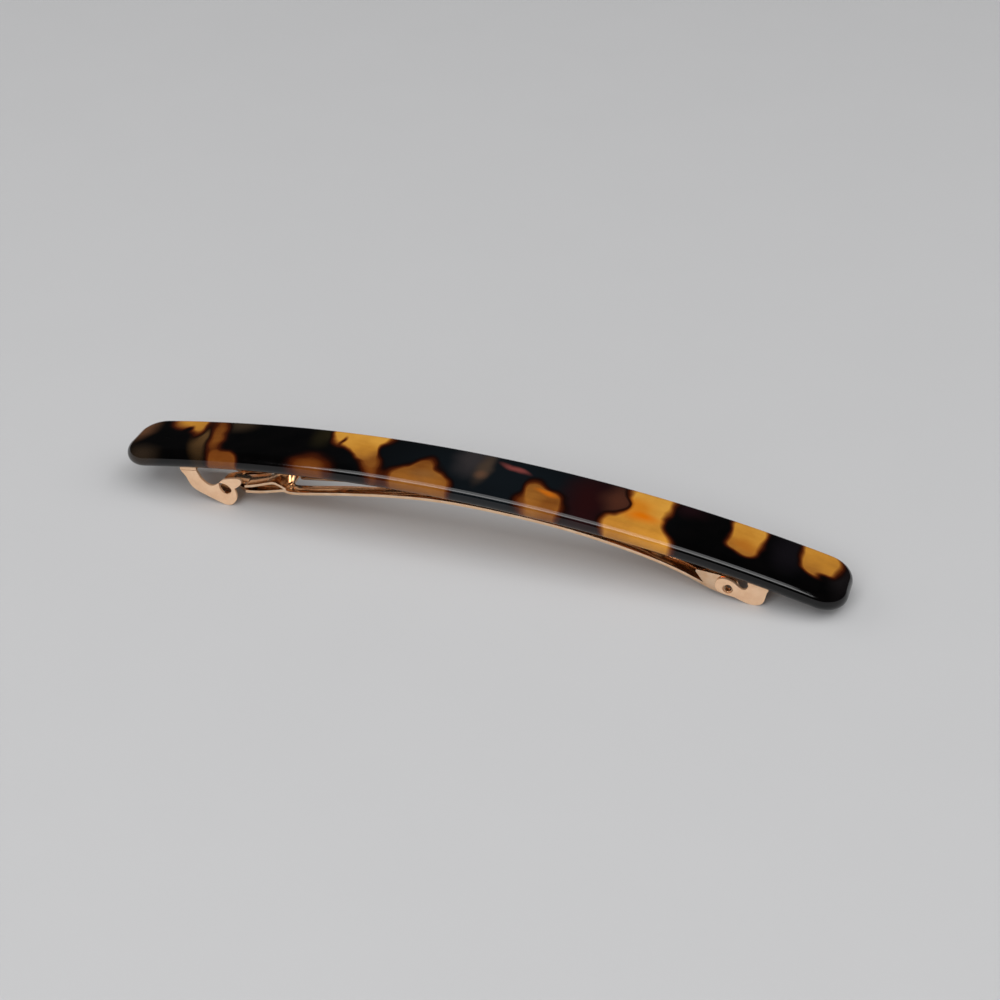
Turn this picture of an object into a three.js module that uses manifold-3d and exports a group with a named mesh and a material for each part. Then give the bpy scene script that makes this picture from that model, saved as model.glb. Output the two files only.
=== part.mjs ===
// An arched hair barrette: a bar of tortoise acetate with a sprung steel clip under it.
// Millimetres, +Z up, +X towards the hinge. The barrette stands on its pinch pads and its hinge ears.
import * as THREE from "three";
import { mergeVertices } from "three/addons/utils/BufferGeometryUtils.js";
import Module from "manifold-3d";

// ---- driving dimensions -------------------------------------------------------------------------
const BAR_LENGTH = 100; // along the arch, at mid thickness
const BAR_WIDTH = 10;
const BAR_THICKNESS = 2.6;
const ARCH_RADIUS = 227; // of the bar's mid surface
const BAR_CORNER_RADIUS = 3.6; // of the outline seen from above
const BAR_TOP_RADIUS = 1.4; // of the polished upper edges
const BAR_BOTTOM_RADIUS = 1.2;
const BAR_TOP_REACH = 1.4; // from the bar's widest line up to its top face

const SHEET = 0.4; // thickness of the clip's folded sheet
const CLIP_HALF_WIDTH = 4; // to the outside of the wings and ears
const RUNNING_GAP = 0.1; // between the arm's cheeks and the ears

const PLATE_START = -42.4; // the base plate's ends, along the arch
const PLATE_END = 41.6;
const PLATE_HALF_WIDTH = 2.7;
const PLATE_CORNER = 2.2;
const PLATE_SLOTS = { centres: [-12, 8], halfLength: 7, halfWidth: 1, corner: 0.99 };
const WING_TAB = [-41.35, -38.9]; // where the plate is as wide as the clip
const EAR_TAB = [37.7, 40.4];
const PLATE_THICKNESS = 0.4;
const GLUE_GAP = 0.1; // between the bar and the base plate
const PLATE_DEPTH = GLUE_GAP + PLATE_THICKNESS; // of its lower face, below the bar

const PIVOT_S = 35.56; // the arm's hinge, along the arch and below the bar
const PIVOT_DEPTH = 2.11;
const PIVOT_BORE_RADIUS = 0.68;
const EYELET_RADIUS = 0.62;
const EYELET_BORE_RADIUS = 0.48;
const EYELET_FLANGE_RADIUS = 0.98;
const EYELET_FLANGE = 0.14; // its thickness
const EYELET_PLAY = 0.02; // between its flange and the arm's cheek
const EYELET_RECESS = 0.22; // of its open end, inside the ear's face

const ARM_HALF_WIDTH = CLIP_HALF_WIDTH - SHEET - RUNNING_GAP;
const ARM_SHEET = 0.4;
const RAIL_WIDTH = 1.9;
const SPRING_THICKNESS = 0.25;
const SPRING_HALF_WIDTH = 1.2;
const SPRING_CORNER = 0.9;

const TACK_SHANK_RADIUS = 0.6;
const TACK_HEAD_RADIUS = 1.15;
const TACK_HEAD_THICKNESS = 0.32;
const TACK_REACH = 1.4; // of the shank into the bar
const TACK_PLACES = { latch_end_tack: -30, hinge_end_tack: 25.5 };
const TACK_CLEARANCE = 0.06; // round its shank
const TACK_GAP = 0.02; // between its head and the base plate

const ROUND_STEPS = 28; // sides of a round piece
const PLAN_DEPTH = 3; // where plan outlines are laid off
const BELOW = -20; // heights well clear of the clip, for cutters that go right through
const ABOVE = 5;

// ---- the arch: s runs along it, depth runs down from the bar's underside ------------------------
const UNDERSIDE_RADIUS = ARCH_RADIUS - BAR_THICKNESS / 2;

function onArch(s, depth) {
  const angle = s / ARCH_RADIUS;
  const radius = UNDERSIDE_RADIUS - depth;
  return new THREE.Vector2(radius * Math.sin(angle), radius * Math.cos(angle) - ARCH_RADIUS);
}

// ---- solids --------------------------------------------------------------------------------------
const wasm = await Module();
wasm.setup();

function toSolid(geometry) {
  const bare = geometry.clone();
  bare.deleteAttribute("normal");
  bare.deleteAttribute("uv");
  const merged = mergeVertices(bare, 1e-4);
  return new wasm.Manifold(
    new wasm.Mesh({
      numProp: 3,
      vertProperties: merged.attributes.position.array,
      triVerts: new Uint32Array(merged.index.array),
    }),
  );
}

function toGeometry(solid) {
  const mesh = solid.getMesh();
  const geometry = new THREE.BufferGeometry();
  geometry.setAttribute("position", new THREE.BufferAttribute(new Float32Array(mesh.vertProperties), 3));
  geometry.setIndex(new THREE.BufferAttribute(new Uint32Array(mesh.triVerts), 1));
  return geometry;
}

// A side view (x, z) drawn out across the barrette from y0 to y1.
function across(shape, y0, y1, curveSegments = 12) {
  const settings = { depth: y1 - y0, bevelEnabled: false, curveSegments };
  const geometry = new THREE.ExtrudeGeometry(shape, settings);
  return toSolid(geometry.rotateX(Math.PI / 2).translate(0, y1, 0));
}

// A plan view (x, y) drawn out upwards from z0 to z1.
function upwards(shape, z0, z1, curveSegments = 12) {
  const settings = { depth: z1 - z0, bevelEnabled: false, curveSegments };
  return toSolid(new THREE.ExtrudeGeometry(shape, settings).translate(0, 0, z0));
}

// A round rod across the barrette.
function rodAcross(centre, radius, y0, y1) {
  const shape = new THREE.Shape().absarc(centre.x, centre.y, radius, 0, Math.PI * 2, false);
  return across(shape, y0, y1, ROUND_STEPS / 2);
}

// A round rod square to the arch at s, between two depths.
function rodThroughArch(s, radius, upperDepth, lowerDepth) {
  const length = lowerDepth - upperDepth;
  const middle = onArch(s, (upperDepth + lowerDepth) / 2);
  const rod = new THREE.CylinderGeometry(radius, radius, length, ROUND_STEPS);
  rod.rotateX(Math.PI / 2).rotateY(s / ARCH_RADIUS).translate(middle.x, 0, middle.y);
  return toSolid(rod);
}

// A closed outline from [s, depth] corners.
function archOutline(corners) {
  return new THREE.Shape(corners.map(([s, depth]) => onArch(s, depth)));
}

// Points of a smooth line through [s, depth] places, `count` to each stretch.
function smoothLine(places, count = 4) {
  const line = new THREE.SplineCurve(places.map(([s, depth]) => new THREE.Vector2(s, depth)));
  return line.getPoints((places.length - 1) * count).map((p) => [p.x, p.y]);
}

// The side view of a strip: `lower` is its lower face, and it is `thickness` high.
function stripOutline(lower, thickness) {
  const upper = lower.map(([s, depth]) => [s, depth - thickness]);
  return archOutline([...lower, ...upper.reverse()]);
}

// A smooth plan outline (x, y), the same on both sides of the middle, through [s, y] places.
function evenPlan(places) {
  const half = smoothLine(places, 3).map(([s, y]) => new THREE.Vector2(onArch(s, PLAN_DEPTH).x, y));
  const other = half.map((p) => new THREE.Vector2(p.x, -p.y)).reverse();
  return new THREE.Shape([...half, ...other]);
}

// The two faces, in rising order, of a sheet that stands on edge at one side of the clip.
function sheetFaces(side, outer, thickness) {
  return [side * outer, side * (outer - thickness)].sort((a, b) => a - b);
}

function rectangle(x0, x1, y0, y1, radius = 0) {
  const shape = new THREE.Shape();
  if (radius === 0) {
    return shape.moveTo(x0, y0).lineTo(x1, y0).lineTo(x1, y1).lineTo(x0, y1).closePath();
  }
  shape.moveTo(x0 + radius, y0).lineTo(x1 - radius, y0);
  shape.absarc(x1 - radius, y0 + radius, radius, -Math.PI / 2, 0, false);
  shape.absarc(x1 - radius, y1 - radius, radius, 0, Math.PI / 2, false);
  shape.absarc(x0 + radius, y1 - radius, radius, Math.PI / 2, Math.PI, false);
  shape.absarc(x0 + radius, y0 + radius, radius, Math.PI, Math.PI * 1.5, false);
  return shape.closePath();
}

// ---- the acetate bar -----------------------------------------------------------------------------
// Sections across the bar, one after another along the arch, with a flat cap at each end.
function barStations() {
  const half = BAR_LENGTH / 2;
  const stations = [];
  const cornerSteps = 7;
  for (let i = 0; i <= cornerSteps; i++) {
    const turn = (Math.PI / 2) * (i / cornerSteps);
    stations.push(half - BAR_CORNER_RADIUS + BAR_CORNER_RADIUS * Math.cos(turn));
  }
  const middleSteps = 13;
  const straight = half - BAR_CORNER_RADIUS;
  for (let i = 1; i <= middleSteps; i++) stations.push(straight * (1 - i / middleSteps));
  const mirrored = stations.slice(0, -1).map((s) => -s);
  return [...mirrored, ...stations.reverse()];
}

function barSection(s) {
  const toEnd = BAR_LENGTH / 2 - Math.abs(s);
  const intoCorner = Math.max(0, BAR_CORNER_RADIUS - toEnd) / BAR_CORNER_RADIUS;
  const halfWidth = BAR_WIDTH / 2 - BAR_CORNER_RADIUS * (1 - Math.sqrt(1 - intoCorner ** 2));
  const heightAt = (edgeRadius, reach) => {
    const intoEdge = Math.max(0, edgeRadius - toEnd) / edgeRadius;
    return reach - edgeRadius * (1 - Math.sqrt(1 - intoEdge ** 2));
  };
  const section = [];
  const edgeSteps = 6;
  for (const [ySide, hSide] of [[1, 1], [-1, 1], [-1, -1], [1, -1]]) {
    const edgeRadius = hSide > 0 ? BAR_TOP_RADIUS : BAR_BOTTOM_RADIUS;
    const reach = hSide > 0 ? BAR_TOP_REACH : BAR_THICKNESS - BAR_TOP_REACH;
    const halfHeight = heightAt(edgeRadius, reach);
    const radius = Math.min(edgeRadius, halfHeight);
    for (let i = 0; i <= edgeSteps; i++) {
      const part = ySide * hSide > 0 ? i / edgeSteps : 1 - i / edgeSteps;
      const turn = (Math.PI / 2) * part;
      const y = ySide * (halfWidth - radius + radius * Math.cos(turn));
      const h = hSide * (halfHeight - radius + radius * Math.sin(turn));
      section.push([y, h]);
    }
  }
  return section;
}

function barSolid() {
  const positions = [];
  const index = [];
  const stations = barStations();
  let around = 0;
  for (const s of stations) {
    const section = barSection(s);
    around = section.length;
    for (const [y, h] of section) {
      const p = onArch(s, BAR_TOP_REACH - BAR_THICKNESS - h);
      positions.push(p.x, y, p.y);
    }
  }
  for (let ring = 0; ring + 1 < stations.length; ring++) {
    for (let i = 0; i < around; i++) {
      const a = ring * around + i;
      const b = ring * around + ((i + 1) % around);
      index.push(a, b, a + around, b, b + around, a + around);
    }
  }
  const last = (stations.length - 1) * around;
  for (let i = 1; i + 1 < around; i++) {
    index.push(0, i + 1, i, last, last + i, last + i + 1);
  }
  const geometry = new THREE.BufferGeometry();
  geometry.setAttribute("position", new THREE.Float32BufferAttribute(positions, 3));
  geometry.setIndex(index);
  return toSolid(geometry);
}

function acetateBar() {
  let bar = barSolid();
  for (const s of Object.values(TACK_PLACES)) {
    const top = -TACK_REACH - TACK_CLEARANCE;
    bar = bar.subtract(rodThroughArch(s, TACK_SHANK_RADIUS + TACK_CLEARANCE, top, 1));
  }
  return bar;
}

// ---- the base plate, with the two hinge ears -----------------------------------------------------
const EAR_TOP = PLATE_DEPTH - PLATE_THICKNESS / 2; // inside the base plate's sheet
// From the plate down into the notch, round the lobe about the pivot, and along the heel.
const EAR_EDGE = [
  [37.9, 0.75],
  [37.8, 1.2],
  [37.35, 1.43],
  [36.7, 1.25],
  [36.0, 0.9],
  [35.2, 0.76],
  [34.5, 0.86],
  [33.98, 1.3],
  [33.85, 1.95],
  [34.05, 2.55],
  [34.6, 2.93],
  [35.6, 3.0],
  [36.7, 2.96],
  [37.6, 3.12],
  [38.5, 3.19],
  [39.3, 3.1],
  [39.95, 2.8],
  [40.35, 2.25],
  [40.4, 1.5],
];

function earShape() {
  const [first, last] = [EAR_EDGE.at(0), EAR_EDGE.at(-1)];
  return archOutline([[first[0], EAR_TOP], ...smoothLine(EAR_EDGE, 3), [last[0], EAR_TOP]]);
}

function basePlate() {
  const steps = 34;
  const lower = [];
  for (let i = 0; i <= steps; i++) {
    lower.push([PLATE_START + ((PLATE_END - PLATE_START) * i) / steps, PLATE_DEPTH]);
  }
  const strip = across(stripOutline(lower, PLATE_THICKNESS), -CLIP_HALF_WIDTH, CLIP_HALF_WIDTH);
  const x0 = onArch(PLATE_START, PLATE_DEPTH).x;
  const x1 = onArch(PLATE_END, PLATE_DEPTH).x;
  let plan = upwards(rectangle(x0, x1, -PLATE_HALF_WIDTH, PLATE_HALF_WIDTH, PLATE_CORNER), BELOW, ABOVE);
  for (const [start, end] of [WING_TAB, EAR_TAB]) {
    const tab = rectangle(onArch(start, 0).x, onArch(end, 0).x, -CLIP_HALF_WIDTH, CLIP_HALF_WIDTH);
    plan = plan.add(upwards(tab, BELOW, ABOVE));
  }
  let plate = strip.intersect(plan);
  const { centres, halfLength, halfWidth, corner } = PLATE_SLOTS;
  for (const centre of centres) {
    const slot = rectangle(centre - halfLength, centre + halfLength, -halfWidth, halfWidth, corner);
    plate = plate.subtract(upwards(slot, BELOW, ABOVE, 6));
  }
  for (const s of Object.values(TACK_PLACES)) {
    plate = plate.subtract(rodThroughArch(s, TACK_SHANK_RADIUS + TACK_CLEARANCE, -1, 2));
  }
  const pivot = onArch(PIVOT_S, PIVOT_DEPTH);
  for (const side of [-1, 1]) {
    const [y0, y1] = sheetFaces(side, CLIP_HALF_WIDTH, SHEET);
    const ear = across(earShape(), y0, y1);
    plate = plate.add(ear.subtract(rodAcross(pivot, PIVOT_BORE_RADIUS, y0 - 1, y1 + 1)));
  }
  return plate;
}

// ---- the two pinch wings -------------------------------------------------------------------------
const WING_TOP = PLATE_DEPTH + 0.08; // clear of the base plate
// From the root, down the outer edge, round the pad, up the neck, round the barb and back.
const WING_EDGE = [
  [-41.3, 0.75],
  [-40.8, 1.5],
  [-40.45, 2.5],
  [-40.0, 3.25],
  [-39.1, 3.9],
  [-37.45, 4.75],
  [-36.05, 5.44],
  [-35.2, 5.69],
  [-34.4, 5.52],
  [-33.75, 4.9],
  [-33.52, 4.1],
  [-33.62, 3.4],
  [-33.65, 3.05],
  [-33.2, 2.82],
  [-32.62, 2.36],
  [-32.45, 1.9],
  [-32.75, 1.56],
  [-33.7, 1.55],
  [-34.8, 1.7],
  [-35.5, 2.02],
  [-36.15, 2.5],
  [-36.85, 2.82],
  [-37.45, 2.76],
  [-38.0, 2.4],
  [-38.55, 1.75],
  [-38.8, 1.13],
  [-38.95, 0.75],
];
// The leaf-shaped hole: its pointed tip, then round its belly.
const LEAF_TIP = [-35.98, 2.3];
const LEAF_BELLY = [
  [-35.5, 2.3],
  [-34.95, 2.47],
  [-34.42, 2.84],
  [-34.17, 3.34],
  [-34.45, 3.8],
  [-35.1, 4.0],
  [-35.66, 3.7],
  [-35.95, 3.08],
];
// The tongue of sheet pressed in from the leaf's lower edge.
const LEAF_TAB = { s: -35.5, depth: 4.1, halfWidth: 1, length: 1.85, sheet: 0.25, rise: 30, inset: 0.15 };

function wingShape() {
  const [first, last] = [WING_EDGE.at(0), WING_EDGE.at(-1)];
  return archOutline([[first[0], WING_TOP], ...smoothLine(WING_EDGE, 3), [last[0], WING_TOP]]);
}

function leafTab(side) {
  const { s, depth, halfWidth, length, sheet, rise, inset } = LEAF_TAB;
  const shape = new THREE.Shape().moveTo(halfWidth, 0).lineTo(halfWidth, length / 3);
  shape.absellipse(0, length / 3, halfWidth, (length * 2) / 3, 0, Math.PI, false);
  shape.lineTo(-halfWidth, 0);
  const tab = new THREE.ExtrudeGeometry(shape, { depth: sheet, bevelEnabled: false, curveSegments: 8 });
  const lean = THREE.MathUtils.degToRad(side < 0 ? rise : 180 - rise);
  const place = onArch(s, depth);
  tab.translate(0, 0, -sheet / 2).rotateX(lean).rotateY(s / ARCH_RADIUS);
  return toSolid(tab.translate(place.x, side * (CLIP_HALF_WIDTH - inset), place.y));
}

function wing(side) {
  const [y0, y1] = sheetFaces(side, CLIP_HALF_WIDTH, SHEET);
  const plate = across(wingShape(), y0, y1);
  const leaf = archOutline([LEAF_TIP, ...smoothLine(LEAF_BELLY, 3)]);
  return plate.subtract(across(leaf, y0 - 1, y1 + 1)).add(leafTab(side));
}

// ---- the closing arm -----------------------------------------------------------------------------
// The lower face of the arm's strip, from the step behind its head to the hinge.
const ARM_LOWER = [
  [-26.5, 3.2],
  [-24.6, 3.46],
  [-18, 2.68],
  [-11, 1.85],
  [-4, 1.22],
  [5, 1.05],
  [14, 1.12],
  [22.4, 1.6],
  [28.3, 2.25],
  [33.5, 3.3],
];
// The head is two layers of sheet joined by a fold at the front. The lower one ends in a tongue.
const HEAD_LOWER = [
  [-37.0, 4.05],
  [-34.9, 3.95],
  [-32.2, 3.85],
  [-29.5, 3.7],
  [-26.1, 3.1],
];
const HEAD_UPPER = [
  [-34.75, 3.3],
  [-32.2, 3.05],
  [-30.5, 2.75],
  [-28.7, 2.3],
  [-27.6, 2.2],
  [-26.1, 2.95],
];
const HEAD_SHEET = 0.35; // of the upper layer
const LOWER_PLAN = [
  [-25.5, ARM_HALF_WIDTH],
  [-31.6, ARM_HALF_WIDTH],
  [-32.3, 3.25],
  [-33.2, 2.6],
  [-34.1, 2.0],
  [-34.8, 1.5],
  [-35.4, 1.27],
  [-36.1, 1.2],
  [-36.6, 0.95],
  [-36.9, 0.5],
  [-36.98, 0.15],
];
const UPPER_PLAN = [
  [-25.5, ARM_HALF_WIDTH],
  [-31.8, ARM_HALF_WIDTH],
  [-32.1, 3.35],
  [-32.35, 2.7],
  [-33.8, 2.2],
  [-34.72, 1.75],
];
const HEAD_SLOT = { start: -34.3, end: -26.9, halfWidth: 0.55 };
const HEAD_FOLD = { front: -34.7, sheet: 0.35, top: 3.1, foot: 3.8, inner: 0.55, outer: 1.4 };
const BODY_WINDOW = { start: -25.9, end: 28.6, corner: 0.8 };
// One forked keeper beside the spring: up its left prong, down into the crotch, and so on.
const KEEPER_SHEET = 0.3;
const KEEPER_OUTER = 1.92;
const KEEPER_OUTLINE = [
  [-26.45, 3.3],
  [-26.05, 1.22],
  [-25.8, 1.25],
  [-25.95, 2.4],
  [-25.42, 1.42],
  [-25.17, 1.5],
  [-25.95, 3.3],
];
const CHEEK_OUTLINE = [
  [32.7, 3.0],
  [30.95, 1.4],
  [31.0, 1.12],
  [34.0, 0.82],
];
const CHEEK_TOE = [
  [33.5, 3.3],
  [32.9, 3.12],
];
const CHEEK_RADIUS = 1.3;
const CHEEK_ARC_START = 85; // degrees, where the cheek's top runs into its round end

function cheekShape() {
  const pivot = onArch(PIVOT_S, PIVOT_DEPTH);
  const shape = new THREE.Shape();
  const [first, ...rest] = CHEEK_OUTLINE.map(([s, depth]) => onArch(s, depth));
  const start = THREE.MathUtils.degToRad(CHEEK_ARC_START);
  shape.moveTo(first.x, first.y);
  for (const p of rest) shape.lineTo(p.x, p.y);
  shape.absarc(pivot.x, pivot.y, CHEEK_RADIUS, start, -Math.PI / 2, true);
  for (const p of CHEEK_TOE.map(([s, depth]) => onArch(s, depth))) shape.lineTo(p.x, p.y);
  return shape;
}

// A layer of the head: its side view kept to its plan outline.
function headLayer(lower, thickness, plan) {
  const strip = across(stripOutline(smoothLine(lower), thickness), -ARM_HALF_WIDTH, ARM_HALF_WIDTH);
  return strip.intersect(upwards(evenPlan(plan), BELOW, ABOVE));
}

function armHead() {
  const { start, end, halfWidth } = HEAD_SLOT;
  const [x0, x1] = [onArch(start, PLAN_DEPTH).x, onArch(end, PLAN_DEPTH).x];
  const openEnd = onArch(HEAD_LOWER[0][0], PLAN_DEPTH).x;
  const mouth = upwards(rectangle(openEnd, x0 + halfWidth, -halfWidth, halfWidth), BELOW, ABOVE);
  const slot = upwards(rectangle(x0, x1, -halfWidth, halfWidth, halfWidth * 0.95), BELOW, ABOVE);
  const upper = headLayer(HEAD_UPPER, HEAD_SHEET, UPPER_PLAN).subtract(mouth);
  let head = headLayer(HEAD_LOWER, ARM_SHEET, LOWER_PLAN).add(upper).subtract(slot);
  const { front, sheet, top, foot, inner, outer } = HEAD_FOLD;
  const fold = archOutline([[front, foot], [front + sheet, foot], [front + sheet, top], [front, top]]);
  for (const side of [-1, 1]) head = head.add(across(fold, ...sheetFaces(side, outer, outer - inner)));
  return head;
}

function closingArm() {
  const half = ARM_HALF_WIDTH;
  let arm = across(stripOutline(smoothLine(ARM_LOWER), ARM_SHEET), -half, half).add(armHead());

  // the window between the two rails of the body
  const inner = half - RAIL_WIDTH;
  const { start, end, corner } = BODY_WINDOW;
  const [x0, x1] = [onArch(start, PLAN_DEPTH).x, onArch(end, PLAN_DEPTH).x];
  arm = arm.subtract(upwards(rectangle(x0, x1, -inner, inner, corner), BELOW, ABOVE, 5));

  const pivot = onArch(PIVOT_S, PIVOT_DEPTH);
  for (const side of [-1, 1]) {
    arm = arm.add(across(archOutline(KEEPER_OUTLINE), ...sheetFaces(side, KEEPER_OUTER, KEEPER_SHEET)));
    const [y0, y1] = sheetFaces(side, half, SHEET);
    arm = arm.add(across(cheekShape(), y0, y1));
    arm = arm.subtract(rodAcross(pivot, PIVOT_BORE_RADIUS, y0 - RUNNING_GAP, y1 + RUNNING_GAP));
  }
  return arm;
}

// ---- the bow spring ------------------------------------------------------------------------------
const SPRING_LOWER = [
  [-25.2, 2.5],
  [-18, 1.95],
  [-10, 1.32],
  [-2, 0.99],
  [6, 0.94],
  [14, 0.99],
  [22, 1.26],
  [28.5, 1.68],
  [32.9, 2.55],
];

function bowSpring() {
  const leaf = across(
    stripOutline(smoothLine(SPRING_LOWER), SPRING_THICKNESS),
    -SPRING_HALF_WIDTH,
    SPRING_HALF_WIDTH,
  );
  const x0 = onArch(...SPRING_LOWER.at(0)).x;
  const x1 = onArch(...SPRING_LOWER.at(-1)).x;
  const plan = rectangle(x0, x1, -SPRING_HALF_WIDTH, SPRING_HALF_WIDTH, SPRING_CORNER);
  return leaf.intersect(upwards(plan, BELOW, ABOVE, 6));
}

// ---- eyelets and tacks ---------------------------------------------------------------------------
// An eyelet is a short hollow rivet. Its flange lies on the inside of the arm's cheek, and its open
// end stands just inside the ear's outer face.
function eyelet(side) {
  const cheekInside = ARM_HALF_WIDTH - SHEET;
  const flangeInside = cheekInside - EYELET_PLAY - EYELET_FLANGE;
  const reach = CLIP_HALF_WIDTH - EYELET_RECESS - flangeInside;
  const corners = [
    [EYELET_BORE_RADIUS, 0],
    [EYELET_FLANGE_RADIUS - EYELET_FLANGE / 2, 0],
    [EYELET_FLANGE_RADIUS, EYELET_FLANGE / 2],
    [EYELET_FLANGE_RADIUS, EYELET_FLANGE],
    [EYELET_RADIUS, EYELET_FLANGE],
    [EYELET_RADIUS, reach],
    [EYELET_BORE_RADIUS, reach],
    [EYELET_BORE_RADIUS, 0],
  ];
  const profile = corners.map(([radius, along]) => new THREE.Vector2(radius, along));
  const lathe = new THREE.LatheGeometry(profile, ROUND_STEPS);
  const pivot = onArch(PIVOT_S, PIVOT_DEPTH);
  lathe.rotateX(side < 0 ? Math.PI : 0).translate(pivot.x, side * flangeInside, pivot.y);
  return toSolid(lathe);
}

function tack(s) {
  const headTop = PLATE_DEPTH + TACK_GAP;
  const head = rodThroughArch(s, TACK_HEAD_RADIUS, headTop, headTop + TACK_HEAD_THICKNESS);
  const shank = rodThroughArch(s, TACK_SHANK_RADIUS, -TACK_REACH, headTop + TACK_HEAD_THICKNESS / 2);
  return head.add(shank);
}

// ---- the barrette --------------------------------------------------------------------------------
const acetate = new THREE.MeshStandardMaterial({ color: 0x3a1c0c, roughness: 0.12, metalness: 0 });
const roseGold = new THREE.MeshStandardMaterial({ color: 0xe8b490, roughness: 0.25, metalness: 1 });
const springSteel = new THREE.MeshStandardMaterial({ color: 0xe6c3a4, roughness: 0.3, metalness: 1 });

const barrette = new THREE.Group();

function addPiece(name, solid, material) {
  const mesh = new THREE.Mesh(toGeometry(solid), material);
  mesh.name = name;
  barrette.add(mesh);
}

addPiece("acetate_bar", acetateBar(), acetate);
addPiece("base_plate", basePlate(), roseGold);
addPiece("front_wing", wing(-1), roseGold);
addPiece("rear_wing", wing(1), roseGold);
addPiece("closing_arm", closingArm(), roseGold);
addPiece("bow_spring", bowSpring(), springSteel);
addPiece("front_eyelet", eyelet(-1), roseGold);
addPiece("rear_eyelet", eyelet(1), roseGold);
for (const [name, s] of Object.entries(TACK_PLACES)) addPiece(name, tack(s), springSteel);

// Turned until the pinch pads and the ears' heels are level, then stood on z = 0 over the origin.
const PAD_FOOT = onArch(-35.2, 5.69);
const EAR_FOOT = onArch(38.5, 3.19);
barrette.rotation.y = Math.atan2(EAR_FOOT.y - PAD_FOOT.y, EAR_FOOT.x - PAD_FOOT.x);
const box = new THREE.Box3().setFromObject(barrette, true);
barrette.position.set(-(box.min.x + box.max.x) / 2, 0, -box.min.z);

export default barrette;
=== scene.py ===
"""The looks of an arched hair barrette: a tortoise acetate bar over a rose-gold sprung clip.

Metres, in the frame's own axes: +X towards the hinge, -Y towards the viewer, +Z up.
"""

import math

import bmesh
import bpy
from mathutils import Matrix, Vector


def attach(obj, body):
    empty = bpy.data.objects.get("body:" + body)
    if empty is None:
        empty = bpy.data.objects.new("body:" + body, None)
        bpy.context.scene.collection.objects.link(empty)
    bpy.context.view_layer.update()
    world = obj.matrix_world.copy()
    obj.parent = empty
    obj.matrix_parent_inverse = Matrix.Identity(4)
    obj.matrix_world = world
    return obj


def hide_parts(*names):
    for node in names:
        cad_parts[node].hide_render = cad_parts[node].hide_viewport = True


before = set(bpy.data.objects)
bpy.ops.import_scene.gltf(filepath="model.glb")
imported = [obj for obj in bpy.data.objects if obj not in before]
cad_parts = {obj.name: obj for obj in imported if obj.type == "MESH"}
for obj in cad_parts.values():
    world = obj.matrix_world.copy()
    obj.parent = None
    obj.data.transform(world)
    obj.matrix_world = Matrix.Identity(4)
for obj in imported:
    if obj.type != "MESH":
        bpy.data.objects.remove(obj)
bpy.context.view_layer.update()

MM = 0.001

# ---- the bar's own dimensions, in millimetres ----------------------------------------------------
ARCH_RADIUS = 227.0  # of the bar's mid surface
BAR_LENGTH = 100.0
BAR_WIDTH = 10.0
BAR_THICKNESS = 2.6
CORNER_RADIUS = 3.6  # of the outline seen from above
TOP_EDGE_RADIUS = 1.4  # the two edge radii together make up the thickness
BOTTOM_EDGE_RADIUS = 1.2
BAR_TILT = math.radians(1.5592)  # of the whole barrette as it stands
BAR_PLACE = Vector((0.1382, 0.0, 8.7697))  # of the bar's middle

# ---- the camera ----------------------------------------------------------------------------------
CAMERA_AZIMUTH = 18.75  # degrees from -Y towards +X
CAMERA_ELEVATION = 31.95  # degrees
CAMERA_DISTANCE = 0.260
CAMERA_LENS = 71.88
CAMERA_SHIFT = (0.0236, -0.0208)
CAMERA_AIM = Vector((0.13, 0.0, 8.65))  # in millimetres
CAMERA_NEAREST = 0.01


def srgb(red, green, blue):
    """A colour given as it looks on a screen, 0 to 255, as the linear colour that shaders take."""

    def linear(value):
        value = value / 255
        return value / 12.92 if value <= 0.04045 else ((value + 0.055) / 1.055) ** 2.4

    return (linear(red), linear(green), linear(blue), 1.0)


# ---- shader nodes --------------------------------------------------------------------------------
def add(tree, kind, inputs=None, **settings):
    """A new node of that kind. Each input is a plain value or another node's output socket."""
    node = tree.nodes.new("ShaderNode" + kind)
    for name, value in settings.items():
        setattr(node, name, value)
    for key, value in (inputs or {}).items():
        if isinstance(value, bpy.types.NodeSocket):
            tree.links.new(value, node.inputs[key])
        else:
            node.inputs[key].default_value = value
    return node


def math_node(tree, operation, *values):
    """The output of a Math node."""
    return add(tree, "Math", dict(enumerate(values)), operation=operation).outputs[0]


def mixed(tree, factor, first, second):
    """The colour output of a Mix node."""
    inputs = {0: factor, 6: first, 7: second}
    return add(tree, "Mix", inputs, data_type="RGBA").outputs[2]


def ranged(tree, value, low, high, to_low=0.0, to_high=1.0, smooth=False):
    """A value moved from one range to another, and kept inside it."""
    inputs = {0: value, 1: low, 2: high, 3: to_low, 4: to_high}
    kind = "SMOOTHSTEP" if smooth else "LINEAR"
    return add(tree, "MapRange", inputs, interpolation_type=kind).outputs[0]


def noise(tree, place, scale, detail=2.0, roughness=0.5, output=0):
    """A noise texture's value (output 0) or colour (output 1)."""
    inputs = {"Vector": place, "Scale": scale, "Detail": detail, "Roughness": roughness}
    return add(tree, "TexNoise", inputs).outputs[output]


def millimetres(tree, stretch=(1, 1, 1)):
    """The object's own coordinates in millimetres, stretched along each axis."""
    place = add(tree, "TexCoord").outputs["Object"]
    scale = tuple(value / MM for value in stretch)
    return add(tree, "VectorMath", {0: place, 1: scale}, operation="MULTIPLY").outputs[0]


def new_material(name):
    """An empty node material, with its tree and its Principled shader."""
    material = bpy.data.materials.new(name)
    material.use_nodes = True
    tree = material.node_tree
    tree.nodes.clear()
    shader = add(tree, "BsdfPrincipled")
    tree.links.new(shader.outputs[0], add(tree, "OutputMaterial").inputs[0])
    return material, tree, shader


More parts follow.
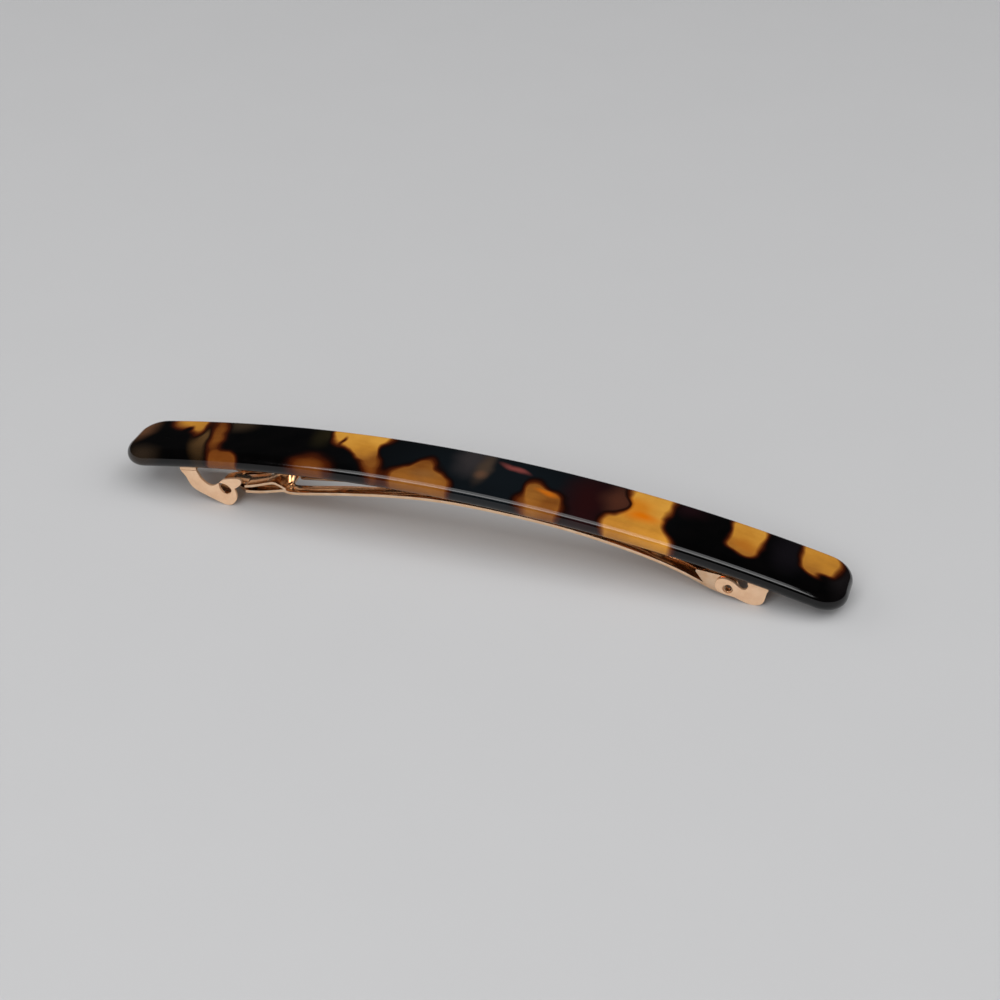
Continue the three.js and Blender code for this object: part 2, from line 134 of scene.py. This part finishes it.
# ---- tortoise acetate ----------------------------------------------------------------------------
# Amber patches: x, y, half length, half width (mm), turn (degrees), softness, level. The level
# says how much amber shows: 1 is bright honey, 0.5 a deep red-brown.
AMBER = [
    (-42.8, 5.2, 2.5, 3.4, 0, 0.2, 0.9),
    (-40.8, 3.6, 1.1, 3.2, 8, 0.3, 0.78),
    (-36.9, 0.4, 6.2, 1.25, -74, 0.4, 0.56),
    (-34.4, -5.3, 1.5, 1.3, 12, 0.3, 0.56),
    (-32.9, -5.2, 0.9, 1.7, 22, 0.3, 0.56),
    (-21.6, -5.8, 3.2, 3.3, 0, 0.24, 0.53),
    (-16.7, 4.6, 3.9, 3.6, 0, 0.2, 1.0),
    (-19.5, 4.2, 1.4, 3.2, 4, 0.3, 0.95),
    (-15.4, 3.2, 1.4, 3.6, 0, 0.26, 1.0),
    (-16.2, 0.5, 2.1, 1.3, -48, 0.35, 0.84),
    (-13.9, -2.1, 4.2, 1.35, -64, 0.36, 0.58),
    (-6.6, -4.2, 3.2, 3.0, 0, 0.24, 0.64),
    (-6.6, -1.4, 1.2, 2.1, 0, 0.4, 0.56),
    (-4.6, -4.7, 2.2, 1.6, -15, 0.3, 0.62),
    (-8.5, -4.9, 2.1, 2.0, 0, 0.3, 0.62),
    (9.9, -4.4, 2.9, 3.4, 0, 0.22, 0.66),
    (8.7, -1.4, 1.3, 2.0, 15, 0.3, 0.62),
    (10.9, -3.2, 1.3, 1.7, 0, 0.3, 0.5),
    (23.1, 4.8, 3.1, 3.8, 0, 0.18, 1.0),
    (23.3, 1.2, 2.1, 2.6, 0, 0.24, 0.95),
    (22.8, -1.4, 2.1, 1.9, 0, 0.24, 0.92),
    (22.1, -4.1, 3.5, 2.7, 0, 0.22, 0.87),
    (24.6, -4.9, 2.9, 2.0, -20, 0.25, 0.86),
    (20.4, -5.0, 2.1, 2.0, 0, 0.25, 0.76),
    (35.8, 4.6, 2.35, 4.0, 0, 0.18, 0.96),
    (35.9, 0.8, 2.1, 2.7, 0, 0.2, 0.86),
    (35.5, -1.2, 1.6, 1.5, 0, 0.3, 0.62),
    (45.2, 4.6, 2.6, 4.0, 0, 0.18, 0.88),
    (45.3, 1.4, 2.4, 2.4, 0, 0.22, 0.8),
    (44.9, -0.4, 1.6, 1.4, 0, 0.35, 0.7),
]
# Dark notches that cut into the amber: x, y, half length, half width (mm), turn, softness, level.
NOTCHES = [
    (-41.9, 1.5, 0.5, 0.9, 0, 0.5, 0.8),
    (-19.1, 1.7, 0.3, 1.0, 0, 0.6, 0.6),
    (46.3, -1.3, 0.9, 0.7, 20, 0.5, 0.9),
]
# Smoky colour lying deep under the dark: x, y, half length, half width (mm), turn, softness,
# how it looks, and how much of it shows.
SMOKE = [
    (3.5, 0.0, 14.5, 6.5, 0, 0.35, (15, 20, 24), 1.0),
    (41.5, 1.5, 2.0, 3.6, 0, 0.4, (17, 14, 18), 1.0),
    (28.0, 3.4, 1.7, 1.6, 0, 0.5, (24, 9, 12), 1.0),
    (15.5, -1.0, 2.7, 5.6, 0, 0.3, (36, 10, 11), 1.0),
    (48.3, 0.6, 1.3, 3.4, 0, 0.5, (22, 18, 19), 1.0),
    (19.2, 0.9, 1.7, 2.9, 0, 0.4, (74, 40, 28), 1.0),
    (-49.6, 1.9, 2.0, 3.1, 0, 0.3, (104, 70, 48), 1.0),
    (-46.6, -4.6, 2.2, 1.3, 0, 0.6, (44, 34, 25), 0.9),
    (-39.0, 0.9, 4.4, 1.3, -76, 0.5, (92, 66, 38), 1.0),
    (-34.8, 4.0, 2.1, 1.9, 0, 0.6, (54, 42, 30), 1.0),
    (-22.0, 3.0, 1.3, 2.8, 0, 0.6, (32, 27, 13), 1.0),
    (-1.0, 2.2, 1.9, 3.1, 0, 0.5, (50, 46, 47), 1.0),
    (1.0, 0.9, 0.9, 3.0, 0, 0.4, (68, 55, 45), 1.0),
    (1.1, -0.9, 0.7, 0.9, 0, 0.6, (92, 66, 50), 0.9),
    (4.9, 2.0, 1.6, 0.42, -20, 0.7, (124, 62, 58), 1.0),
]
# Painted glow: warm light shining through the amber, painted into its colour, in the same order.
PAINTED_GLOWS = [
    (22.7, -1.3, 1.7, 1.0, 0, 0.9, (216, 112, 6), 1.0),
    (22.0, 0.8, 1.6, 1.6, 0, 0.9, (204, 118, 18), 0.8),
    (10.3, -1.6, 1.3, 0.5, -15, 0.9, (205, 108, 16), 0.8),
    (35.9, -0.4, 1.5, 1.1, 0, 0.9, (176, 100, 26), 0.6),
    (-6.0, -3.4, 1.6, 0.8, 0, 0.9, (140, 96, 52), 0.5),
]
# The amber field's colours, from the edge of a patch to its middle.
AMBER_RAMP = [
    (0.0, (3, 2, 2)),
    (0.2, (24, 6, 3)),
    (0.38, (66, 24, 5)),
    (0.54, (112, 60, 20)),
    (0.68, (154, 98, 38)),
    (0.85, (196, 134, 48)),
    (1.0, (218, 158, 64)),
]
EDGE_WIDTH = 3.0  # how far every patch's listed softness is stretched
SOFTEST = 0.85
PATCH_WANDER = 0.4  # mm that the edges of the patches wander
WANDER_SCALE = 0.3  # noise scales are per millimetre
COVERED = (0.08, 0.95)  # the summed fields at which amber starts, and is full
LEAST_COVER = 0.01  # keeps the patches' mean level finite between the patches
CLOUD_SCALE = 0.35
CLOUD_SPREAD = (0.35, 0.65)  # a cloudy noise's values that make the full change of shade
CLOUD_SHARE = (0.93, 1.04)  # how far the clouds dim and lift the amber
STREAK_SCALE = 1.1
STREAK_STRETCH = (0.25, 1.2, 1.2)
STREAK_SHARE = (0.98, 1.02)
MIDDLE_NOISE = (0.3, 0.7)  # where nearly all of a noise's values lie
BLACKS = ((1, 1, 1), (4, 3, 3))
DARK_TO_AMBER = (0.02, 0.2)  # the field at which the dark gives way to the ramp
# The painted glow of light through the amber starts at this field, and shows in full at the next.
PAINTED_GLOW_FROM = (0.35, 0.6)  # the field at which the glows start, and show in full
POLISH_SCALE = 1.6
POLISH = (0.05, 0.1)  # roughness
RIPPLE_SCALE = 0.8
RIPPLE_STRENGTH = 0.03
RIPPLE_HEIGHT = 0.02  # mm
ACETATE_IOR = 1.49
ACETATE_SPECULAR = 0.42
FLAT = 1e6  # a half height so great that height doesn't count


def blob_group():
    """A node group: 1 inside a turned ellipse, 0 outside it, with a soft edge."""
    group = bpy.data.node_groups.new("patch", "ShaderNodeTree")
    vectors = ("Place", "Centre", "Size")
    numbers = ("Turn", "Softness")
    for name in vectors + numbers:
        kind = "NodeSocketVector" if name in vectors else "NodeSocketFloat"
        group.interface.new_socket(name, in_out="INPUT", socket_type=kind)
    group.interface.new_socket("Field", in_out="OUTPUT", socket_type="NodeSocketFloat")
    given = group.nodes.new("NodeGroupInput").outputs
    offset = add(group, "VectorMath", {0: given["Place"], 1: given["Centre"]}, operation="SUBTRACT")
    back = math_node(group, "MULTIPLY", given["Turn"], -1.0)
    turn_inputs = {"Vector": offset.outputs[0], "Angle": back}
    turned = add(group, "VectorRotate", turn_inputs, rotation_type="Z_AXIS")
    shrunk = add(group, "VectorMath", {0: turned.outputs[0], 1: given["Size"]}, operation="DIVIDE")
    reach = add(group, "VectorMath", {0: shrunk.outputs[0]}, operation="LENGTH").outputs["Value"]
    outer = math_node(group, "ADD", 1.0, given["Softness"])
    inner = math_node(group, "SUBTRACT", 1.0, given["Softness"])
    field = ranged(group, reach, outer, inner, smooth=True)
    group.links.new(field, group.nodes.new("NodeGroupOutput").inputs["Field"])
    return group


BLOB = blob_group()


def blob(tree, place, x, y, half_length, half_width, turn, softness):
    """The field of one patch of the pattern."""
    node = add(tree, "Group", node_tree=BLOB)
    tree.links.new(place, node.inputs["Place"])
    node.inputs["Centre"].default_value = (x, y, 0)
    node.inputs["Size"].default_value = (half_length, half_width, FLAT)
    node.inputs["Turn"].default_value = math.radians(turn)
    node.inputs["Softness"].default_value = min(SOFTEST, EDGE_WIDTH * softness)
    return node.outputs["Field"]


def tinted(tree, place, colour, tints, weight=None):
    """A colour with soft tints laid over it, one after another."""
    for *shape, look, share in tints:
        field = math_node(tree, "MULTIPLY", blob(tree, place, *shape), share)
        if weight is not None:
            field = math_node(tree, "MULTIPLY", field, weight)
        colour = mixed(tree, field, colour, srgb(*look))
    return colour


def wandering(tree, raw):
    """The place in the pattern, pushed about a little so that no patch has a plain outline."""
    wander = noise(tree, raw, WANDER_SCALE, detail=1.0, roughness=0.4, output=1)
    middle = (0.5, 0.5, 0.5)
    centred = add(tree, "VectorMath", {0: wander, 1: middle}, operation="SUBTRACT").outputs[0]
    reach = 4 * PATCH_WANDER  # the noise seldom leaves its middle half
    push = add(tree, "VectorMath", {0: centred, "Scale": reach}, operation="SCALE").outputs[0]
    return add(tree, "VectorMath", {0: raw, 1: push}, operation="ADD").outputs[0]


def amber_field(tree, place):
    """How much amber shows. Neighbouring patches run together where their soft edges add up."""
    covered = 0.0
    weighted = 0.0
    for *shape, level in AMBER:
        field = blob(tree, place, *shape)
        covered = math_node(tree, "ADD", field, covered)
        weighted = math_node(tree, "MULTIPLY_ADD", field, level, weighted)
    cover = math_node(tree, "MAXIMUM", covered, LEAST_COVER)
    mean_level = math_node(tree, "DIVIDE", weighted, cover)
    amber = math_node(tree, "MULTIPLY", ranged(tree, covered, *COVERED), mean_level)
    for *shape, level in NOTCHES:
        cut = math_node(tree, "MULTIPLY", blob(tree, place, *shape), level)
        amber = math_node(tree, "MULTIPLY", amber, math_node(tree, "SUBTRACT", 1.0, cut))
    return amber


def amber_ramp(tree, field):
    """The amber's colour from how much of it shows."""
    ramp = add(tree, "ValToRGB", {0: field})
    elements = ramp.color_ramp.elements
    for element, (position, look) in zip(elements, (AMBER_RAMP[0], AMBER_RAMP[-1])):
        element.position = position
        element.color = srgb(*look)
    for position, look in AMBER_RAMP[1:-1]:
        elements.new(position).color = srgb(*look)
    return ramp.outputs[0]


def bump(tree, shader, height, strength, distance):
    """Fine relief on the surface; the distance is in millimetres."""
    inputs = {"Strength": strength, "Distance": distance * MM, "Height": height}
    tree.links.new(add(tree, "Bump", inputs).outputs[0], shader.inputs["Normal"])


def tortoise():
    """Polished tortoise acetate: honey patches with red-brown edges in near black, and painted
    glows where light shines through the amber.
    """
    material, tree, shader = new_material("tortoise_acetate")
    raw = millimetres(tree)
    place = wandering(tree, raw)
    amber = amber_field(tree, place)

    cloud = noise(tree, raw, CLOUD_SCALE, detail=4.0)
    streak_place = millimetres(tree, STREAK_STRETCH)
    streak = noise(tree, streak_place, STREAK_SCALE, detail=5.0, roughness=0.6)
    clouded = math_node(tree, "MULTIPLY", amber, ranged(tree, cloud, *MIDDLE_NOISE, *CLOUD_SHARE))
    streaks = ranged(tree, streak, *MIDDLE_NOISE, *STREAK_SHARE)
    streaked = math_node(tree, "MULTIPLY", clouded, streaks)

    dark = mixed(tree, ranged(tree, cloud, *CLOUD_SPREAD), *[srgb(*look) for look in BLACKS])
    dark = tinted(tree, place, dark, SMOKE)
    honey = amber_ramp(tree, streaked)
    colour = mixed(tree, ranged(tree, streaked, *DARK_TO_AMBER), dark, honey)
    # Painted glow: light shining through the amber, laid over it as colour.
    colour = tinted(tree, place, colour, PAINTED_GLOWS, ranged(tree, streaked, *PAINTED_GLOW_FROM))
    tree.links.new(colour, shader.inputs["Base Color"])

    polish = noise(tree, raw, POLISH_SCALE, detail=3.0)
    rough = ranged(tree, polish, *MIDDLE_NOISE, *POLISH)
    tree.links.new(rough, shader.inputs["Roughness"])
    ripple = noise(tree, raw, RIPPLE_SCALE, detail=2.0)
    bump(tree, shader, ripple, RIPPLE_STRENGTH, RIPPLE_HEIGHT)
    shader.inputs["IOR"].default_value = ACETATE_IOR
    shader.inputs["Specular IOR Level"].default_value = ACETATE_SPECULAR
    return material


# ---- metals --------------------------------------------------------------------------------------
GRAIN_SCALE = 5.0  # per millimetre
GRAIN_HEIGHT = 0.01  # mm
CLOUDINESS_SCALE = 0.9
SPECK_SCALE = 7.0
GRAIN_SHARE = 0.35  # of the colour; the rest is cloudiness
SPECK_SHARE = 0.4  # of the scuffs, beside the grain
SCUFF_SPREAD = (0.5, 0.9)


def plated(name, looks, roughness, grain_stretch, grain_strength, metallic=1.0):
    """Plated sheet metal: a faint cloudiness, rolled grain and fine scratches."""
    material, tree, shader = new_material(name)
    raw = millimetres(tree)
    grain_place = millimetres(tree, grain_stretch)
    grain = noise(tree, grain_place, GRAIN_SCALE, detail=5.0, roughness=0.65)
    cloud = noise(tree, raw, CLOUDINESS_SCALE, detail=3.0)
    speck = noise(tree, raw, SPECK_SCALE, detail=2.0)
    clouds = math_node(tree, "MULTIPLY", cloud, 1 - GRAIN_SHARE)
    shade = math_node(tree, "MULTIPLY_ADD", grain, GRAIN_SHARE, clouds)
    colour = mixed(tree, ranged(tree, shade, *CLOUD_SPREAD), *[srgb(*look) for look in looks])
    tree.links.new(colour, shader.inputs["Base Color"])
    scuffs = math_node(tree, "MULTIPLY_ADD", speck, SPECK_SHARE, grain)
    rough = ranged(tree, scuffs, *SCUFF_SPREAD, *roughness)
    tree.links.new(rough, shader.inputs["Roughness"])
    shader.inputs["Metallic"].default_value = metallic
    bump(tree, shader, grain, grain_strength, GRAIN_HEIGHT)
    return material


# Two looks each, which the metal's cloudiness goes between.
ROSE_GOLD = ((240, 196, 156), (252, 218, 184))
STAMPED_GOLD = ((242, 197, 157), (252, 213, 176))
SPRING_LOOKS = ((226, 190, 158), (242, 212, 184))
TACK_LOOKS = ((196, 188, 178), (222, 214, 204))


# ---- meshes --------------------------------------------------------------------------------------
def on_arch(s, height):
    """A point along the arch and above its mid surface, in the bar's own plane."""
    angle = s / ARCH_RADIUS
    radius = ARCH_RADIUS + height
    return radius * math.sin(angle), radius * math.cos(angle) - ARCH_RADIUS


def as_it_stands(x, y, z):
    """A point of the level bar, in metres, where the barrette stands."""
    turned = Matrix.Rotation(BAR_TILT, 3, "Y") @ Vector((x, y, z))
    return (turned + BAR_PLACE) * MM


CORNER_STEPS = 20
LENGTH_STEPS = 150
EDGE_STEPS = 12


def quarter_turns(steps):
    """Angles from 0 to a right angle."""
    return [math.pi / 2 * i / steps for i in range(steps + 1)]


def half_outline(inset):
    """The near half of the bar's outline from above, right end to left, drawn in by `inset`."""
    half_width = BAR_WIDTH / 2
    middle = BAR_LENGTH / 2 - CORNER_RADIUS
    radius = CORNER_RADIUS - inset
    right = []
    for turn in quarter_turns(CORNER_STEPS):
        x = middle + radius * math.cos(turn)
        y = half_width - CORNER_RADIUS + radius * math.sin(turn)
        right.append((x, y))
    straight = []
    for i in range(1, LENGTH_STEPS):
        straight.append((middle * (1 - 2 * i / LENGTH_STEPS), half_width - inset))
    left = [(-x, y) for x, y in reversed(right)]
    return right + straight + left


def edge_levels():
    """(inset, height) steps from the middle of the underside, round the edge, to the top face."""
    half = BAR_THICKNESS / 2
    levels = []
    for turn in quarter_turns(EDGE_STEPS):
        inset = BOTTOM_EDGE_RADIUS * (1 - math.sin(turn))
        levels.append((inset, -half + BOTTOM_EDGE_RADIUS * (1 - math.cos(turn))))
    for turn in quarter_turns(EDGE_STEPS)[1:]:  # the widest line is in the list already
        inset = TOP_EDGE_RADIUS * (1 - math.cos(turn))
        levels.append((inset, half - TOP_EDGE_RADIUS * (1 - math.sin(turn))))
    return levels


def bar_mesh():
    """The bar with fully rounded edges and corners, following the arch."""
    made = bmesh.new()
    rings = []
    for inset, height in edge_levels():
        half = half_outline(inset)
        ring = []
        for side, points in ((-1, half), (1, list(reversed(half)))):
            for s, y in points:
                x, z = on_arch(s, height)
                ring.append(made.verts.new(as_it_stands(x, side * y, z)))
        rings.append(ring)
    around = len(rings[0])
    for lower, upper in zip(rings, rings[1:]):
        for i in range(around):
            j = (i + 1) % around
            made.faces.new((lower[i], upper[i], upper[j], lower[j]))
    half_count = around // 2
    for ring in (rings[0], rings[-1]):
        for i in range(half_count - 1):
            made.faces.new((ring[i], ring[i + 1], ring[around - 2 - i], ring[around - 1 - i]))
    bmesh.ops.recalc_face_normals(made, faces=made.faces)
    mesh = bpy.data.meshes.new("tortoise_bar")
    made.to_mesh(mesh)
    made.free()
    return mesh


STAMPED_FROM = 3.65  # how far out from the middle the stamped faces lie, in mm


def shown(name, mesh, materials, body, nodes):
    """A piece that stands for CAD nodes, riding on their body.

    The second material, if there is one, is the satin of the stamped faces on the clip's outside.
    """
    mesh.materials.clear()
    for material in materials:
        mesh.materials.append(material)
    for face in mesh.polygons:
        face.material_index = int(len(materials) > 1 and abs(face.center.y) > STAMPED_FROM * MM)
    mesh.shade_smooth()
    piece = bpy.data.objects.new(name, mesh)
    bpy.context.scene.collection.objects.link(piece)
    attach(piece, body)
    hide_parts(*nodes)
    return piece


MERGE_DISTANCE = 0.0005  # mm
FLAT_ANGLE = math.radians(1.0)  # faces that turn less than this are joined
EDGE_ANGLE = math.radians(35.0)  # edges sharper than this are rounded
ROUNDING_STEPS = 3


def softened(node, name, bevel):
    """The CAD node's shape with every sharp edge rounded off by `bevel` millimetres."""
    made = bmesh.new()
    made.from_mesh(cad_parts[node].data)
    bmesh.ops.remove_doubles(made, verts=made.verts, dist=MERGE_DISTANCE * MM)
    bmesh.ops.dissolve_limit(made, angle_limit=FLAT_ANGLE, verts=made.verts, edges=made.edges)
    mesh = bpy.data.meshes.new(name)
    made.to_mesh(mesh)
    made.free()
    mesh.shade_smooth()
    draft = bpy.data.objects.new(name + "_draft", mesh)
    bpy.context.scene.collection.objects.link(draft)
    rounding = draft.modifiers.new("rounding", "BEVEL")
    rounding.width = bevel * MM
    rounding.segments = ROUNDING_STEPS
    rounding.limit_method = "ANGLE"
    rounding.angle_limit = EDGE_ANGLE
    rounding.harden_normals = True
    rounding.use_clamp_overlap = True
    bpy.context.view_layer.update()
    graph = bpy.context.evaluated_depsgraph_get()
    rounded = bpy.data.meshes.new_from_object(draft.evaluated_get(graph))
    rounded.name = name
    bpy.data.objects.remove(draft)
    return rounded


# ---- the pieces ----------------------------------------------------------------------------------
# name, looks, roughness, the grain's stretch along each axis, its strength, metallic
rose_gold = plated("rose_gold", ROSE_GOLD, (0.1, 0.2), (0.15, 1, 1), 0.15)
stamped_gold = plated("stamped_gold", STAMPED_GOLD, (0.42, 0.55), (1, 1, 1), 0.3, metallic=0.45)
spring_gold = plated("spring_gold", SPRING_LOOKS, (0.12, 0.22), (0.05, 2, 1), 0.2)
tack_steel = plated("tack_steel", TACK_LOOKS, (0.25, 0.4), (1, 1, 1), 0.3)

shown("tortoise_bar", bar_mesh(), [tortoise()], "bar_and_base", ["acetate_bar"])

# node: (piece, materials, body, slot, rounding in mm)
METAL = {
    "base_plate": ("clip_base", [rose_gold, stamped_gold], "bar_and_base", "rose_gold", 0.06),
    "front_wing": ("front_pinch_wing", [rose_gold, stamped_gold], "front_wing", "rose_gold", 0.07),
    "rear_wing": ("rear_pinch_wing", [rose_gold, stamped_gold], "rear_wing", "rose_gold", 0.07),
    "closing_arm": ("clip_arm", [rose_gold], "closing_arm", "rose_gold", 0.06),
    "bow_spring": ("leaf_spring", [spring_gold], "bow_spring", "spring_leaf", 0.05),
    "front_eyelet": ("front_hinge_eyelet", [rose_gold], "bar_and_base", "rose_gold", 0.03),
    "rear_eyelet": ("rear_hinge_eyelet", [rose_gold], "bar_and_base", "rose_gold", 0.03),
    "latch_end_tack": ("latch_tack", [tack_steel], "bar_and_base", "tack_steel", 0.08),
    "hinge_end_tack": ("hinge_tack", [tack_steel], "bar_and_base", "tack_steel", 0.08),
}
for node, (name, materials, body, slot, bevel) in METAL.items():
    shown(name, softened(node, name, bevel), materials, body, [node])


# ---- the studio ----------------------------------------------------------------------------------
FLOOR_LOOK = (200, 200, 201)
FLOOR_MOTTLE = 1  # how far the floor's look strays either way
FLOOR_MOTTLE_SCALE = 0.05
FLOOR_ROUGHNESS = 0.9
FLOOR_SPECULAR = 0.1
FLOOR_SIZE = 3.0


def studio_floor():
    """A plain pale floor under the barrette."""
    made = bmesh.new()
    half = FLOOR_SIZE / 2
    corners = [(-half, -half, 0), (half, -half, 0), (half, half, 0), (-half, half, 0)]
    made.faces.new([made.verts.new(corner) for corner in corners])
    mesh = bpy.data.meshes.new("floor")
    made.to_mesh(mesh)
    made.free()
    material, tree, shader = new_material("pale_floor")
    mottle = noise(tree, millimetres(tree), FLOOR_MOTTLE_SCALE, detail=2.0)
    darker = srgb(*[value - FLOOR_MOTTLE for value in FLOOR_LOOK])
    paler = srgb(*[value + FLOOR_MOTTLE for value in FLOOR_LOOK])
    tree.links.new(mixed(tree, mottle, darker, paler), shader.inputs["Base Color"])
    shader.inputs["Roughness"].default_value = FLOOR_ROUGHNESS
    shader.inputs["Specular IOR Level"].default_value = FLOOR_SPECULAR
    mesh.materials.append(material)
    floor = bpy.data.objects.new("floor", mesh)
    bpy.context.scene.collection.objects.link(floor)


def direction(azimuth, elevation):
    """A unit vector; azimuth 0 is towards -Y and grows towards +X, both in degrees."""
    a, e = math.radians(azimuth), math.radians(elevation)
    return Vector((math.sin(a) * math.cos(e), -math.cos(a) * math.cos(e), math.sin(e)))


# Softboxes: name, azimuth, elevation (degrees), distance, width, height (m), how bright it looks
# against 1 for a plain white screen, and whether it shows in polished surfaces.
SOFTBOXES = [
    ("front_low", -9, 30, 1.0, 0.66, 0.22, 5.3, True),
    ("front_high", -9, 46, 1.0, 0.66, 0.28, 2.6, True),
    ("left_softbox", -90, 30, 1.1, 1.2, 0.5, 1.2, False),
    ("right_softbox", 90, 48, 1.1, 1.4, 0.9, 1.2, False),
    ("overhead", 0, 82, 1.2, 1.8, 1.5, 1.1, False),
    ("front_fill", 0, 9, 1.1, 1.4, 0.5, 1.4, False),
]
ROOM_COLOUR = (0.9, 0.95, 1.0, 1.0)
ROOM_LIGHT = 0.02


def softbox(name, azimuth, elevation, distance, width, height, radiance, in_reflections):
    """A rectangular area light that faces the barrette."""
    light = bpy.data.lights.new(name, "AREA")
    light.shape = "RECTANGLE"
    light.size, light.size_y = width, height
    light.energy = radiance * math.pi * width * height
    lamp = bpy.data.objects.new(name, light)
    away = direction(azimuth, elevation)
    lamp.location = away * distance
    lamp.rotation_euler = away.to_track_quat("Z", "Y").to_euler()
    lamp.visible_glossy = in_reflections
    bpy.context.scene.collection.objects.link(lamp)


def dim_room():
    """A nearly dark room, so that the bar's top reflects black."""
    world = bpy.data.worlds.new("dim_room")
    bpy.context.scene.world = world
    world.use_nodes = True
    backdrop = world.node_tree.nodes["Background"]
    backdrop.inputs[0].default_value = ROOM_COLOUR
    backdrop.inputs[1].default_value = ROOM_LIGHT


def studio_camera():
    """The camera, level, above and to the right of the barrette's front."""
    camera = bpy.data.cameras.new("camera")
    camera.lens = CAMERA_LENS
    camera.shift_x, camera.shift_y = CAMERA_SHIFT
    camera.clip_start = CAMERA_NEAREST
    holder = bpy.data.objects.new("camera", camera)
    back = direction(CAMERA_AZIMUTH, CAMERA_ELEVATION)
    holder.location = CAMERA_AIM * MM + back * CAMERA_DISTANCE
    holder.rotation_euler = back.to_track_quat("Z", "Y").to_euler()
    bpy.context.scene.collection.objects.link(holder)
    bpy.context.scene.camera = holder


studio_floor()
for box in SOFTBOXES:
    softbox(*box)
dim_room()
studio_camera()
bpy.context.scene.view_settings.view_transform = "Standard"
